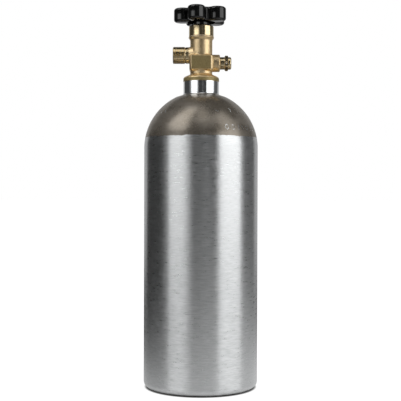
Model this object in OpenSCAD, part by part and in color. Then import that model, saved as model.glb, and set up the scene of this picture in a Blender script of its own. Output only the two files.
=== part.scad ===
// Small aluminium gas cylinder with a brass handwheel valve.
// Millimetres. The origin is on the floor, at the centre of the foot ring.
// +Z is up, the outlet points along -X and the safety plug along +X.

/* [Cylinder shell] */
// Outer radius of the cylinder
body_r = 66.675; // [50:0.025:100]
// Height of the top of the neck above the floor
neck_top_z = 358.3; // [260:0.1:700]
// Thickness of the side wall
wall_t = 7.4; // [5:0.1:12]
// Thickness of the bottom
base_t = 10; // [8:0.5:20]
// Radius of the edge between the side and the bottom
base_edge_r = 7.5; // [4:0.5:12]
// Radius inside, where the wall meets the bottom
base_inner_r = 20; // [8:0.5:30]
// Width of the foot ring
foot_ring_w = 10; // [6:0.5:20]
// Depth of the hollow under the bottom
foot_dish_depth = 3.5; // [1:0.1:5]
// Extra thickness of the crown over the wall
crown_extra = 8; // [2:0.5:14]
// Outer radius of the neck
neck_r = 20.75; // [17:0.05:28]
// Height of the neck above the shoulder
neck_h = 15.6; // [10:0.1:30]
// Width of the flat land machined round the neck
land_w = 8.75; // [4:0.25:14]
// Drop of that land from the neck outwards
land_drop = 3; // [1:0.1:5]
// Radius of the fillet at the foot of the neck
neck_fillet_r = 2; // [0.5:0.1:4]

/* [Valve body] */
// Radius of the threaded stem that screws into the neck
inlet_r = 9.45; // [8:0.05:11.5]
// Length of that stem below the flange
inlet_l = 19.8; // [12:0.1:24]
// Radius of the gas way through the stem
inlet_bore_r = 3.5; // [2:0.1:5]
// Radius of the round flange
flange_r = 21; // [18:0.1:28]
// Height of the upright rim of the flange
flange_rim_h = 2.6; // [1:0.1:5]
// Radius of the flange's upper edge
flange_edge_r = 3.2; // [1:0.1:4]
// Slope of the top of the flange, in degrees
flange_slope = 24; // [10:1:35]
// Radius of the round column
column_r = 13; // [11.8:0.1:14]
// Height of the valve body above the neck
valve_h = 52.4; // [50:0.1:70]
// Radius of the lip at the top of the column
lip_r = 14.85; // [14.2:0.05:18]
// Height of the straight lip
lip_h = 1.2; // [0.5:0.1:3]
// Height of the flare below the lip
flare_h = 2.8; // [1:0.1:5]
// Width of the wrench block across its flats
block_w = 27.7; // [27:0.1:34]
// Chamfer of the block's upright corners
block_chamfer = 3; // [1:0.1:6]
// Height of the block's underside above the neck
block_drop = 11.9; // [10:0.1:14]
// Height of the block
block_h = 19.3; // [16:0.1:22]
// Height of the bevel at the block's top and bottom
block_bevel_h = 2.4; // [1:0.1:4]
// Inset of that bevel
block_bevel_w = 1.5; // [0.5:0.1:3]

/* [Outlet] */
// Height of the outlet's axis above the neck
outlet_up = 30.9; // [30:0.1:34]
// Radius of the outlet thread
outlet_thread_r = 9.9; // [9:0.01:12]
// Length of the outlet thread
outlet_thread_l = 14.8; // [10:0.1:20]
// Reach of the outlet's face from the valve's axis
outlet_reach = 33.3; // [32:0.1:45]
// Radius of the barrel between the thread and the column
outlet_barrel_r = 9.5; // [8.5:0.1:11]
// Radius of the collar behind the thread
outlet_collar_r = 9.6; // [9:0.1:12]
// Width of that collar
outlet_collar_w = 2.9; // [1:0.1:3.2]
// Radius of the outlet's gas way
outlet_bore_r = 3.5; // [2:0.1:5]
// Radius of the washer seat in the outlet's face
outlet_seat_r = 6; // [5.2:0.1:8]
// Depth of the washer seat
outlet_seat_h = 2.5; // [1:0.1:4]

/* [Safety plug] */
// Height of the safety plug's axis above the neck
safety_up = 21.7; // [20:0.1:22.5]
// Reach of the safety boss from the valve's axis
safety_reach = 21.97; // [20:0.01:26]
// Radius of the safety boss
safety_boss_r = 10.1; // [8.5:0.1:11]
// Radius of the plug's threaded shank
safety_shank_r = 6.5; // [5:0.1:6.9]
// Depth of the threaded hole in the boss
safety_hole_l = 6.4; // [5:0.1:6.5]
// Radius of the round neck behind the plug's hexagon
safety_neck_r = 7.3; // [7:0.1:7.8]
// Length of that neck
safety_neck_l = 5.4; // [3:0.1:8]
// Width of the plug's hexagon across its flats
safety_hex_w = 15.875; // [15:0.025:20]
// Length of the hexagon
safety_hex_l = 4.4; // [4:0.1:8]
// Length of the round nose
safety_nose_l = 3.5; // [2:0.1:6]
// Radius of the hole up the middle of the plug
safety_bore_r = 3; // [1.5:0.1:4]
// Radius of the vent holes
vent_r = 1.3; // [0.6:0.1:1.8]
// Thickness of the copper gasket
disc_gasket_t = 0.8; // [0.4:0.1:1.2]
// Thickness of the burst disc
burst_disc_t = 0.3; // [0.1:0.05:0.6]

/* [Bonnet] */
// Radius of the chamber that the plug slides in
chamber_r = 8.5; // [8:0.1:9.2]
// Radius of the bonnet's threaded skirt
skirt_r = 10.3; // [9.8:0.1:10.8]
// Length of that skirt
skirt_l = 7.5; // [7:0.1:7.8]
// Radius of the polished bonnet
bonnet_r = 14.5; // [13.8:0.1:17]
// Height of the polished bonnet
bonnet_h = 12.3; // [10:0.1:20]
// Radius of the small boss on top of it
bonnet_boss_r = 9.5; // [8:0.1:12]
// Height of that boss
bonnet_boss_h = 0.6; // [0.4:0.1:3]
// Thickness of the bonnet gasket
bonnet_gasket_t = 0.6; // [0.3:0.1:1]
// Radius of the cord of the O-rings
ring_cord_r = 1.15; // [0.9:0.05:1.3]

/* [Stem and plug] */
// Radius of the stem
stem_r = 4.75; // [4.2:0.05:5]
// Radius of the collar that holds the stem down
collar_r = 7.2; // [6.9:0.05:7.4]
// Thickness of that collar
collar_h = 2.5; // [1.5:0.1:3]
// Thickness of the tongue that turns the plug
tongue_t = 2.4; // [1.6:0.1:3]
// Travel of the plug from shut to full open
plug_travel = 2.625; // [1:0.125:3]
// Radius of the nose that carries the seat insert
plug_nose_r = 6.2; // [5.6:0.1:6.8]
// Radius of the seat insert
seat_insert_r = 4.95; // [4.5:0.05:5.2]
// Height of the seat insert
seat_insert_h = 3.7; // [2:0.1:5]
// Radius of the orifice
orifice_r = 2.5; // [1:0.1:3]

/* [Handwheel] */
// Number of lobes
lobes = 5; // [4:1:6]
// Radius of each lobe
lobe_r = 10.3; // [8.5:0.1:11]
// Radius of the circle that the lobes' centres lie on
lobe_ring_r = 21.9; // [20:0.1:26]
// Radius of the hollows between the lobes
valley_r = 3; // [2:0.1:5]
// Angle of the first lobe from +X, in degrees
lobe_angle = -105; // [-180:1:180]
// Height of the handwheel's rim
wheel_h = 16.2; // [14:0.1:20]
// How far the rim stands above the lower end of the hub
rim_rise = 3; // [0:0.1:5]
// Radius of the rim's upper and lower edges
wheel_edge_r = 5.5; // [1:0.1:7]
// Thickness of the rim at the bottom of the hollows between the lobes
wheel_wall_t = 1.4; // [1:0.1:3]
// Depth of the recess under the wheel
under_recess_h = 8.3; // [3:0.1:9]
// Thickness of the web between the two recesses
web_t = 2.5; // [2:0.1:4]
// Radius of the recess on top of the wheel
top_recess_r = 14; // [12:0.1:14.5]
// Radius of the hub
hub_r = 9.5; // [7.5:0.1:11]
// Radius of the thread that holds the wheel on
wheel_thread_r = 3; // [2:0.1:3]
// Width of the wheel nut across its flats
wheel_nut_w = 11; // [9:0.1:13]
// Height of the wheel nut
wheel_nut_h = 4; // [3:0.1:4.2]
// Radius of the wheel washer
washer_r = 7; // [5.5:0.1:9]
// Thickness of the wheel washer
washer_t = 1.2; // [0.6:0.1:1.6]

/* [Hidden] */
$fn = 96;
eps = 0.01;

// Clearances
thread_gap = 0.1;
running_gap = 0.08;
ring_gap = 0.1;
seat_gap = 0.05;
loose_gap = 0.4;
turn_gap = 0.5;

// Shell
neck_root_z = neck_top_z - neck_h;
land_r = neck_r + land_w;
dome_z = neck_root_z - land_drop - sqrt(pow(body_r, 2) - pow(land_r, 2));
inner_r = body_r - wall_t;
inner_dome_z = dome_z - crown_extra;
neck_ring_r = inlet_r + ring_cord_r + 0.25;
neck_ring_seat_r = neck_ring_r + ring_cord_r + 0.2;
neck_ring_seat_h = 2 * ring_cord_r + 0.2;

// Levels of the valve, all counted from the top of the neck
flange_rim_z = neck_top_z + flange_rim_h;
body_top_z = neck_top_z + valve_h;
block_z = neck_top_z + block_drop;
outlet_z = neck_top_z + outlet_up;
safety_z = neck_top_z + safety_up;
seat_z = safety_z + 5.2;
nib_h = 0.8;
nib_r = orifice_r + 1.7;
chamber_z = seat_z - nib_h;
skirt_gap = 1.3;
bonnet_z = body_top_z + bonnet_gasket_t;
skirt_z = bonnet_z - skirt_l;
bonnet_top_z = bonnet_z + bonnet_h;
boss_top_z = bonnet_top_z + bonnet_boss_h;

// Stem and plug
washer_ring_t = 1.1;
collar_z = skirt_z + 0.7;
collar_top_z = collar_z + collar_h;
cavity_r = collar_r + loose_gap;
cavity_top_z = collar_top_z + washer_ring_t + 2 * seat_gap;
stem_bore_r = stem_r + running_gap;
stem_ring_r = stem_r + ring_cord_r + seat_gap;
ring_groove_r = stem_ring_r + ring_cord_r + ring_gap;
ring_groove_z = bonnet_z + 1.2;
backup_ring_t = 1.4;
ring_groove_h = 2 * ring_cord_r + backup_ring_t + 0.6;
plug_r = chamber_r - running_gap;
insert_z = seat_z + seat_gap;
insert_top_z = insert_z + seat_insert_h;
plug_nose_z = seat_z + 1.2;
plug_step_z = plug_nose_z + 7.8;
plug_top_z = collar_z - plug_travel - 0.9;
tongue_z = plug_top_z - 1.5;
slot_z = tongue_z - plug_travel - 0.3;

// Handwheel
hub_z = boss_top_z + turn_gap;
rim_z = hub_z + rim_rise;
wheel_top_z = rim_z + wheel_h;
under_recess_z = rim_z + under_recess_h;
web_top_z = under_recess_z + web_t;
square_w = stem_r * sqrt(2) - 0.1;
square_hole_w = square_w + 0.2;
lobe_step = 360 / lobes;
valley_ring_r = lobe_ring_r * cos(lobe_step / 2)
    + sqrt(pow(lobe_r + valley_r, 2) - pow(lobe_ring_r * sin(lobe_step / 2), 2));
under_recess_r = valley_ring_r - valley_r - wheel_wall_t;
wheel_r = lobe_ring_r + lobe_r;

// Safety plug
safety_hole_x = safety_reach - safety_hole_l;
disc_x = safety_hole_x + disc_gasket_t;
shank_x = disc_x + burst_disc_t;
hex_x = safety_reach + safety_neck_l;
nose_x = hex_x + safety_hex_l;
plug_end_x = nose_x + safety_nose_l;

// A round bar about Z, with an optional chamfer at its top edge
module bar(r, z0, z1, top_chamfer = 0) {
    rotate_extrude()
        polygon([[0, z0], [r, z0], [r, z1 - top_chamfer], [r - top_chamfer, z1], [0, z1]]);
}

// A flat ring about Z
module ring(r_out, r_in, z0, z1) {
    translate([0, 0, z0])
        difference() {
            cylinder(h = z1 - z0, r = r_out);
            translate([0, 0, -1]) cylinder(h = z1 - z0 + 2, r = r_in);
        }
}

// An O-ring about Z
module o_ring(mid_r, cord_r, z) {
    translate([0, 0, z])
        rotate_extrude()
            translate([mid_r, 0]) circle(r = cord_r);
}

// Children made along +Z are laid along the outlet's axis
module on_outlet_axis() {
    translate([0, 0, outlet_z]) rotate([0, -90, 0]) children();
}

// Children made along +Z are laid along the safety plug's axis
module on_safety_axis() {
    translate([0, 0, safety_z]) rotate([0, 90, 0]) children();
}

// Square with its four corners cut off
module chamfered_square(w, c) {
    h = w / 2;
    polygon([
        [h - c, -h], [h, c - h], [h, h - c], [h - c, h],
        [c - h, h], [-h, h - c], [-h, c - h], [c - h, -h]
    ]);
}

// ---- Cylinder shell ----

module shell_outline() {
    slope = atan(land_drop / land_w);
    fillet_x = neck_r + neck_fillet_r;
    fillet_z = neck_root_z - neck_fillet_r * tan(slope) + neck_fillet_r / cos(slope);
    // Side and rounded lower edge
    translate([0, base_edge_r]) square([body_r, dome_z - base_edge_r]);
    square([body_r - base_edge_r, base_edge_r + 1]);
    translate([body_r - base_edge_r, base_edge_r]) circle(r = base_edge_r);
    // Shoulder, a hemisphere outside the machined land
    intersection() {
        translate([0, dome_z]) circle(r = body_r);
        translate([land_r - eps, dome_z - 1]) square([body_r, body_r]);
    }
    // Land and neck, with the fillet between them
    difference() {
        polygon([
            [0, dome_z - 1], [land_r, dome_z - 1], [land_r, neck_root_z - land_drop],
            [fillet_x - neck_fillet_r * sin(slope), fillet_z - neck_fillet_r * cos(slope)],
            [fillet_x, fillet_z], [neck_r, fillet_z], [neck_r, neck_top_z], [0, neck_top_z]
        ]);
        translate([fillet_x, fillet_z]) circle(r = neck_fillet_r);
    }
}

module shell_cavity() {
    translate([0, base_t + base_inner_r])
        square([inner_r, inner_dome_z - base_t - base_inner_r]);
    translate([0, base_t]) square([inner_r - base_inner_r, base_inner_r + 1]);
    translate([inner_r - base_inner_r, base_t + base_inner_r]) circle(r = base_inner_r);
    translate([0, inner_dome_z - 1]) square([inner_r, 1]);
    intersection() {
        translate([0, inner_dome_z]) circle(r = inner_r);
        translate([0, inner_dome_z - eps]) square([inner_r + 1, inner_r + 1]);
    }
}

// The dish under the bottom is a shallow ball
module foot_dish() {
    dish_r = body_r - base_edge_r - foot_ring_w;
    ball_r = (pow(dish_r, 2) + pow(foot_dish_depth, 2)) / (2 * foot_dish_depth);
    intersection() {
        translate([0, foot_dish_depth - ball_r]) circle(r = ball_r, $fn = 360);
        translate([0, -1]) square([dish_r + 5, foot_dish_depth + 2]);
    }
}

module cylinder_shell() {
    color("silver")
        difference() {
            rotate_extrude() difference() {
                intersection() {
                    shell_outline();
                    square([body_r + 1, neck_top_z + 1]);
                }
                intersection() {
                    shell_cavity();
                    square([body_r, neck_top_z]);
                }
                intersection() {
                    foot_dish();
                    translate([0, -1]) square([body_r, base_t]);
                }
            }
            translate([0, 0, inner_dome_z])
                cylinder(h = neck_top_z - inner_dome_z + 1, r = inlet_r + thread_gap);
            translate([0, 0, neck_top_z - neck_ring_seat_h])
                cylinder(h = neck_ring_seat_h + 1, r = neck_ring_seat_r);
        }
}

module neck_o_ring() {
    color("dimgray") o_ring(neck_ring_r, ring_cord_r, neck_top_z - ring_cord_r - ring_gap);
}

// ---- Valve body ----

module valve_turned_outline() {
    edge_x = flange_r - flange_edge_r;
    tangent_x = edge_x + flange_edge_r * sin(flange_slope);
    tangent_z = flange_rim_z + flange_edge_r * cos(flange_slope);
    thread_chamfer = 1;
    polygon([
        [0, neck_top_z - inlet_l],
        [inlet_r - thread_chamfer, neck_top_z - inlet_l],
        [inlet_r, neck_top_z - inlet_l + thread_chamfer],
        [inlet_r, neck_top_z],
        [flange_r, neck_top_z],
        [flange_r, flange_rim_z],
        [edge_x, flange_rim_z],
        [tangent_x, tangent_z],
        [column_r, tangent_z + (tangent_x - column_r) * tan(flange_slope)],
        [column_r, body_top_z - lip_h - flare_h],
        [lip_r, body_top_z - lip_h],
        [lip_r, body_top_z],
        [0, body_top_z]
    ]);
    intersection() {
        translate([edge_x, flange_rim_z]) circle(r = flange_edge_r);
        translate([edge_x, flange_rim_z]) square([flange_r, flange_r]);
    }
}

module block_side_outline() {
    h = block_w / 2;
    top = block_z + block_h;
    polygon([
        [block_bevel_w - h, block_z], [h - block_bevel_w, block_z],
        [h, block_z + block_bevel_h], [h, top - block_bevel_h],
        [h - block_bevel_w, top], [block_bevel_w - h, top],
        [-h, top - block_bevel_h], [-h, block_z + block_bevel_h]
    ]);
}

module wrench_block() {
    intersection() {
        translate([0, 0, block_z]) linear_extrude(height = block_h)
            chamfered_square(block_w, block_chamfer);
        rotate([90, 0, 0]) linear_extrude(height = block_w, center = true)
            block_side_outline();
        rotate([90, 0, 90]) linear_extrude(height = block_w, center = true)
            block_side_outline();
    }
}

module outlet_barrel() {
    thread_x = outlet_reach - outlet_thread_l;
    on_outlet_axis() {
        bar(outlet_barrel_r, 0, thread_x);
        bar(outlet_collar_r, thread_x - outlet_collar_w, thread_x);
        bar(outlet_thread_r, thread_x - eps, outlet_reach);
    }
}

module blank_pad() {
    pad_r = 1.5;
    pad_w = 5.6;
    pad_proud = 0.4;
    translate([0, -column_r - pad_proud, body_top_z - 11.7])
        rotate([-90, 0, 0])
            linear_extrude(height = 3) {
                square([pad_w - 2 * pad_r, 2 * pad_r], center = true);
                for (side = [-1, 1])
                    translate([side * (pad_w / 2 - pad_r), 0]) circle(r = pad_r);
            }
}

module valve_bores() {
    // Gas way up the stem, and the orifice
    translate([0, 0, neck_top_z - inlet_l - 1])
        cylinder(h = seat_z - 2.2 - (neck_top_z - inlet_l - 1), r = inlet_bore_r);
    translate([0, 0, seat_z - 3]) cylinder(h = 4, r = orifice_r);
    // Chamber with the seat standing up in its floor
    rotate_extrude() polygon([
        [0, seat_z], [nib_r, seat_z], [nib_r, chamber_z], [chamber_r, chamber_z],
        [chamber_r, body_top_z + 1], [0, body_top_z + 1]
    ]);
    translate([0, 0, skirt_z - skirt_gap])
        cylinder(h = body_top_z - skirt_z + skirt_gap + 1, r = skirt_r + thread_gap);
    // Outlet
    on_outlet_axis() {
        translate([0, 0, chamber_r - 1]) cylinder(h = outlet_reach, r = outlet_bore_r);
        translate([0, 0, outlet_reach - outlet_seat_h])
            cylinder(h = outlet_seat_h + 1, r = outlet_seat_r);
    }
    // Safety port
    on_safety_axis() {
        translate([0, 0, inlet_bore_r - 1]) cylinder(h = safety_hole_x, r = 2);
        translate([0, 0, safety_hole_x])
            cylinder(h = safety_hole_l + 1, r = safety_shank_r + thread_gap);
    }
}

module valve_body() {
    color("goldenrod")
        difference() {
            union() {
                rotate_extrude() valve_turned_outline();
                wrench_block();
                outlet_barrel();
                on_safety_axis() bar(safety_boss_r, 0, safety_reach, 1);
                blank_pad();
            }
            valve_bores();
        }
}

// ---- Bonnet ----

module bonnet_gasket() {
    color("tan") ring(column_r + 0.6, skirt_r + 3 * thread_gap, body_top_z, bonnet_z);
}

module bonnet_nut() {
    chamfer = 1;
    color("gold")
        difference() {
            union() {
                bar(skirt_r, skirt_z, bonnet_z + 1);
                bar(bonnet_r, bonnet_z, bonnet_top_z, chamfer);
                bar(bonnet_boss_r, bonnet_top_z - 1, boss_top_z, chamfer / 2);
            }
            translate([0, 0, skirt_z - 1])
                cylinder(h = cavity_top_z - skirt_z + 1, r = cavity_r);
            translate([0, 0, skirt_z]) cylinder(h = boss_top_z - skirt_z + 1, r = stem_bore_r);
            translate([0, 0, ring_groove_z]) cylinder(h = ring_groove_h, r = ring_groove_r);
        }
}

module thrust_washer() {
    color("ivory")
        ring(collar_r + 0.2, stem_bore_r + seat_gap, collar_top_z + seat_gap,
             collar_top_z + seat_gap + washer_ring_t);
}

module stem_o_ring() {
    color("dimgray") o_ring(stem_ring_r, ring_cord_r, ring_groove_z + ring_cord_r + 0.1);
}

module backup_ring() {
    top = ring_groove_z + ring_groove_h - 0.1;
    color("white") ring(ring_groove_r - ring_gap, stem_bore_r, top - backup_ring_t, top);
}

// ---- Stem and plug ----

module valve_stem() {
    color("khaki") {
        translate([-collar_r + 0.6, -tongue_t / 2, tongue_z])
            cube([2 * collar_r - 1.2, tongue_t, collar_z - tongue_z + eps]);
        bar(collar_r, collar_z, collar_top_z);
        bar(stem_r, collar_z, hub_z);
        translate([-square_w / 2, -square_w / 2, hub_z - 1])
            cube([square_w, square_w, web_top_z - hub_z + 0.7]);
        bar(wheel_thread_r, hub_z, wheel_top_z - 0.1, 0.4);
    }
}

module valve_plug() {
    color("goldenrod")
        difference() {
            union() {
                bar(plug_nose_r, plug_nose_z, plug_step_z + 1);
                bar(plug_r, plug_step_z, plug_top_z);
            }
            translate([0, 0, plug_nose_z - 1])
                cylinder(h = insert_top_z + seat_gap - plug_nose_z + 1,
                         r = seat_insert_r + seat_gap);
            translate([-chamber_r, -tongue_t / 2 - 0.1, slot_z])
                cube([2 * chamber_r, tongue_t + 0.2, plug_top_z - slot_z + 1]);
        }
}

module seat_insert() {
    color("white") bar(seat_insert_r, insert_z, insert_top_z);
}

// ---- Handwheel ----

module wheel_outline() {
    difference() {
        polygon([
            for (i = [0 : 2 * lobes - 1])
                let (a = lobe_angle + i * lobe_step / 2)
                let (r = i % 2 == 0 ? lobe_ring_r : valley_ring_r)
                [r * cos(a), r * sin(a)]
        ]);
        for (i = [0 : lobes - 1])
            rotate(lobe_angle + (i + 0.5) * lobe_step)
                translate([valley_ring_r, 0]) circle(r = valley_r);
    }
    for (i = [0 : lobes - 1])
        rotate(lobe_angle + i * lobe_step)
            translate([lobe_ring_r, 0]) circle(r = lobe_r);
}

// A disc whose two edges are rounded, which trims the tips of the lobes
module rounded_disc(r, z0, z1, edge_r) {
    rotate_extrude() {
        translate([0, z0]) square([r - edge_r, z1 - z0]);
        translate([0, z0 + edge_r]) square([r, z1 - z0 - 2 * edge_r]);
        for (z = [z0 + edge_r, z1 - edge_r])
            intersection() {
                translate([r - edge_r, z]) circle(r = edge_r);
                square([r + 1, wheel_top_z + 1]);
            }
    }
}

module handwheel() {
    color("black")
        difference() {
            union() {
                difference() {
                    intersection() {
                        translate([0, 0, rim_z]) linear_extrude(height = wheel_h)
                            wheel_outline();
                        rounded_disc(wheel_r + 0.2, rim_z, wheel_top_z, wheel_edge_r + 0.2);
                    }
                    translate([0, 0, rim_z - 1])
                        cylinder(h = under_recess_h + 1, r = under_recess_r);
                    translate([0, 0, web_top_z]) cylinder(h = wheel_h, r = top_recess_r);
                }
                bar(hub_r, hub_z, web_top_z);
            }
            translate([-square_hole_w / 2, -square_hole_w / 2, hub_z - 1])
                cube([square_hole_w, square_hole_w, wheel_h + 2]);
        }
}

module wheel_washer() {
    color("lightgray") ring(washer_r, wheel_thread_r + 0.3, web_top_z, web_top_z + washer_t);
}

module wheel_nut() {
    nut_z = web_top_z + washer_t;
    color("silver")
        difference() {
            translate([0, 0, nut_z])
                cylinder(h = wheel_nut_h, r = wheel_nut_w / sqrt(3), $fn = 6);
            translate([0, 0, nut_z - 1])
                cylinder(h = wheel_nut_h + 2, r = wheel_thread_r + seat_gap);
        }
}

// ---- Safety plug ----

module disc_gasket() {
    color("peru") on_safety_axis() ring(safety_shank_r - 0.2, 2.6, safety_hole_x, disc_x);
}

module burst_disc() {
    color("coral") on_safety_axis() bar(safety_shank_r - 0.2, disc_x, shank_x);
}

module safety_plug() {
    hex_r = safety_hex_w / sqrt(3);
    color("gold")
        on_safety_axis()
            difference() {
                union() {
                    bar(safety_shank_r, shank_x, safety_reach + 1);
                    bar(safety_neck_r, safety_reach, nose_x);
                    translate([0, 0, hex_x]) cylinder(h = safety_hex_l, r = hex_r, $fn = 6);
                    bar(safety_neck_r, nose_x - 1, plug_end_x, 1);
                }
                translate([0, 0, shank_x - 1])
                    cylinder(h = nose_x - shank_x + 1, r = safety_bore_r);
                for (turn = [30, 90, 150])
                    translate([0, 0, hex_x + safety_hex_l / 2])
                        rotate([0, 90, turn])
                            cylinder(h = 2 * hex_r + 2, r = vent_r, center = true);
            }
}

cylinder_shell();
neck_o_ring();
valve_body();
bonnet_gasket();
bonnet_nut();
thrust_washer();
stem_o_ring();
backup_ring();
valve_stem();
valve_plug();
seat_insert();
handwheel();
wheel_washer();
wheel_nut();
disc_gasket();
burst_disc();
safety_plug();
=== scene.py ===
# %% [markdown]
# # A small aluminium gas cylinder with a brass valve
#
# This lesson dresses a CAD model of a gas cylinder for a studio picture. The CAD
# model says where every piece is and how big it is. Here each visible piece gets
# the shape and the finish that the real one has: a brushed wall, a shoulder
# darkened by heat, a bright turned neck, a forged brass valve, turned brass
# fittings and a glossy black handwheel.

# %% Load the CAD model
import math

import bmesh
import bpy
from mathutils import Matrix, Vector, noise


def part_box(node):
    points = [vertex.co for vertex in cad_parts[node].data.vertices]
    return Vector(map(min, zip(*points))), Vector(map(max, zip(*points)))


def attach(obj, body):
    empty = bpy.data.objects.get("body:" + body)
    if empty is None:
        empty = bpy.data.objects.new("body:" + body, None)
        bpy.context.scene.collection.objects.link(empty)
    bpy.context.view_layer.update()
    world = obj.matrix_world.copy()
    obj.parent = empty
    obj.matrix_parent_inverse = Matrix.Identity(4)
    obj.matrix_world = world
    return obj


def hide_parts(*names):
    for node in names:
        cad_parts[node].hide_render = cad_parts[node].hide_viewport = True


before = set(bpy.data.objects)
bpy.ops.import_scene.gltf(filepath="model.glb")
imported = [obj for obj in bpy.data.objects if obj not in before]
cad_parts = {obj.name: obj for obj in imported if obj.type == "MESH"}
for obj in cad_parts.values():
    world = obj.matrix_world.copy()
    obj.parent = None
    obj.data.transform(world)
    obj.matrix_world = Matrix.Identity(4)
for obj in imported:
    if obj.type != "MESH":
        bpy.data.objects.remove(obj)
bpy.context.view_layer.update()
MM = 0.001

# %% [markdown]
# The driving sizes come from the boxes of the CAD nodes. What a box can't tell,
# such as the radius of a groove, is a named value in millimetres.

# %% Levels and radii, in millimetres


def levels(node):
    """Lowest and highest corner of a CAD node, in millimetres."""
    low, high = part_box(node)
    return low / MM, high / MM


BODY_R = levels("cylinder_shell")[1].x
NECK_TOP = levels("cylinder_shell")[1].z
VALVE_LOW, VALVE_HIGH = levels("valve_body")
BONNET_LOW, BONNET_HIGH = levels("bonnet_nut")
WHEEL_HIGH = levels("handwheel")[1]
STEM_LOW, STEM_HIGH = levels("valve_stem")
PLUG_LOW = levels("safety_plug")[0]
NUT_LOW, NUT_HIGH = levels("wheel_nut")

print("body radius", round(BODY_R, 2), "neck top", round(NECK_TOP, 1), "valve top", round(VALVE_HIGH.z, 1))

# %% [markdown]
# ## A lathe
#
# Nearly every piece here was turned, spun or drawn, so it is a profile swept
# round an axis. A profile is drawn with a pen in the XZ plane: straight strokes
# add a vertex and an edge, and round strokes spin the last vertex about a centre.
# Corners are rounded afterwards with a vertex bevel, which is quicker than
# drawing each small arc. The finished profile is spun a full turn.

# %% The pen and the lathe
ROUND_STEPS = 96
MERGE = 0.002 * MM


def pen_down(bm, r, z):
    """Starts a profile at radius r and height z, in millimetres."""
    return bm.verts.new((r * MM, 0, z * MM))


def pen_line(bm, last, r, z):
    """Draws a straight stroke and returns its end."""
    vert = bm.verts.new((r * MM, 0, z * MM))
    bm.edges.new((last, vert))
    return vert


def pen_arc(bm, last, centre_r, centre_z, degrees, steps):
    """Draws a round stroke; a positive angle turns from outwards to upwards."""
    swept = bmesh.ops.spin(
        bm, geom=[last], cent=(centre_r * MM, 0, centre_z * MM), axis=(0, -1, 0),
        angle=math.radians(degrees), steps=steps,
    )
    return swept["geom_last"][0]


def turn(bm, steps=ROUND_STEPS):
    """Spins the profile a full turn about Z and closes the poles."""
    bmesh.ops.spin(
        bm, geom=bm.verts[:] + bm.edges[:], cent=(0, 0, 0), axis=(0, 0, 1),
        angle=2 * math.pi, steps=steps, use_merge=True,
    )
    bmesh.ops.remove_doubles(bm, verts=bm.verts, dist=MERGE)
    bmesh.ops.recalc_face_normals(bm, faces=bm.faces)


def round_corner(bm, vert, offset):
    """Rounds a corner of a profile, from an offset in millimetres on each side of it."""
    bmesh.ops.bevel(
        bm, geom=[vert], offset=offset * MM, segments=5, profile=0.5, affect="VERTICES", material=-1,
    )


def round_edges(bm, edges, offset, segments=1, clamp=False):
    """Bevels edges by an offset in millimetres; one segment makes a flat chamfer."""
    bmesh.ops.bevel(
        bm, geom=edges, offset=offset * MM, segments=segments, profile=0.5, affect="EDGES",
        clamp_overlap=clamp, material=-1,
    )


def box(width, depth, height):
    """A box about the origin, in millimetres."""
    bm = bmesh.new()
    bmesh.ops.create_cube(bm, size=1.0)
    bmesh.ops.scale(bm, vec=(width * MM, depth * MM, height * MM), verts=bm.verts)
    return bm


def moved(bm, x, y, z):
    """Moves a bmesh, in millimetres."""
    bmesh.ops.translate(bm, vec=(x * MM, y * MM, z * MM), verts=bm.verts)
    return bm


def turned(corners, steps=ROUND_STEPS):
    """A turned solid from corners of (r, z) or (r, z, rounding), from pole to pole."""
    bm = bmesh.new()
    verts = [pen_down(bm, *corners[0][:2])]
    for corner in corners[1:]:
        verts.append(pen_line(bm, verts[-1], *corner[:2]))
    for vert, corner in zip(verts, corners):
        if len(corner) == 3:
            round_corner(bm, vert, corner[2])
    turn(bm, steps)
    return bm


# %% [markdown]
# Each finished bmesh becomes an object that sits at the origin, rides on its CAD
# body, and stands for the CAD node of the same piece. Smooth shading with a
# sharp-edge angle keeps round walls round and machined edges crisp.

# %% From a bmesh to a piece
SHARP_ANGLE = math.radians(32)


def rotation(degrees, axis, size=4):
    """A turn about an axis through the origin, as a matrix of 3 or 4 rows."""
    return Matrix.Rotation(math.radians(degrees), size, axis)


def to_mesh(name, bm):
    """Writes a bmesh to a new mesh with smooth faces and sharp creases."""
    for face in bm.faces:
        face.smooth = True
    mesh = bpy.data.meshes.new(name)
    bm.to_mesh(mesh)
    bm.free()
    mesh.set_sharp_from_angle(angle=SHARP_ANGLE)
    return mesh


def to_object(name, bm):
    """A new object in the scene, at the origin."""
    obj = bpy.data.objects.new(name, to_mesh(name, bm))
    bpy.context.scene.collection.objects.link(obj)
    return obj


def install(obj, body, node, slot, *materials):
    """Makes obj ride on a body in place of a CAD node, with its finishes."""
    if materials:
        obj.data.materials.clear()
    for material in materials:
        obj.data.materials.append(material)
    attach(obj, body)
    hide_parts(node)
    print(obj.name, "triangles:", sum(len(p.vertices) - 2 for p in obj.data.polygons))


def cut(obj, tool, operation="DIFFERENCE"):
    """Cuts obj with tool, a bmesh or an object that is then removed, or joins them."""
    if isinstance(tool, bmesh.types.BMesh):
        tool = to_object("tool", tool)
    modifier = obj.modifiers.new("cut", "BOOLEAN")
    modifier.operation = operation
    modifier.solver = "MANIFOLD"
    modifier.object = tool
    apply_modifiers(obj)
    bpy.data.objects.remove(tool)
    obj.data.set_sharp_from_angle(angle=SHARP_ANGLE)


def apply_modifiers(obj):
    """Keeps the evaluated mesh and drops the modifiers."""
    bpy.context.view_layer.update()
    graph = bpy.context.evaluated_depsgraph_get()
    finished = bpy.data.meshes.new_from_object(obj.evaluated_get(graph), depsgraph=graph)
    old = obj.data
    obj.modifiers.clear()
    obj.data = finished
    bpy.data.meshes.remove(old)


# %% [markdown]
# ## Finishes
#
# A material is a small graph. Its helpers add a node, join two sockets and set a
# value. Patterns read Object coordinates, in metres, so they stay on the piece
# and have their real size.

# %% Material helpers


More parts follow.
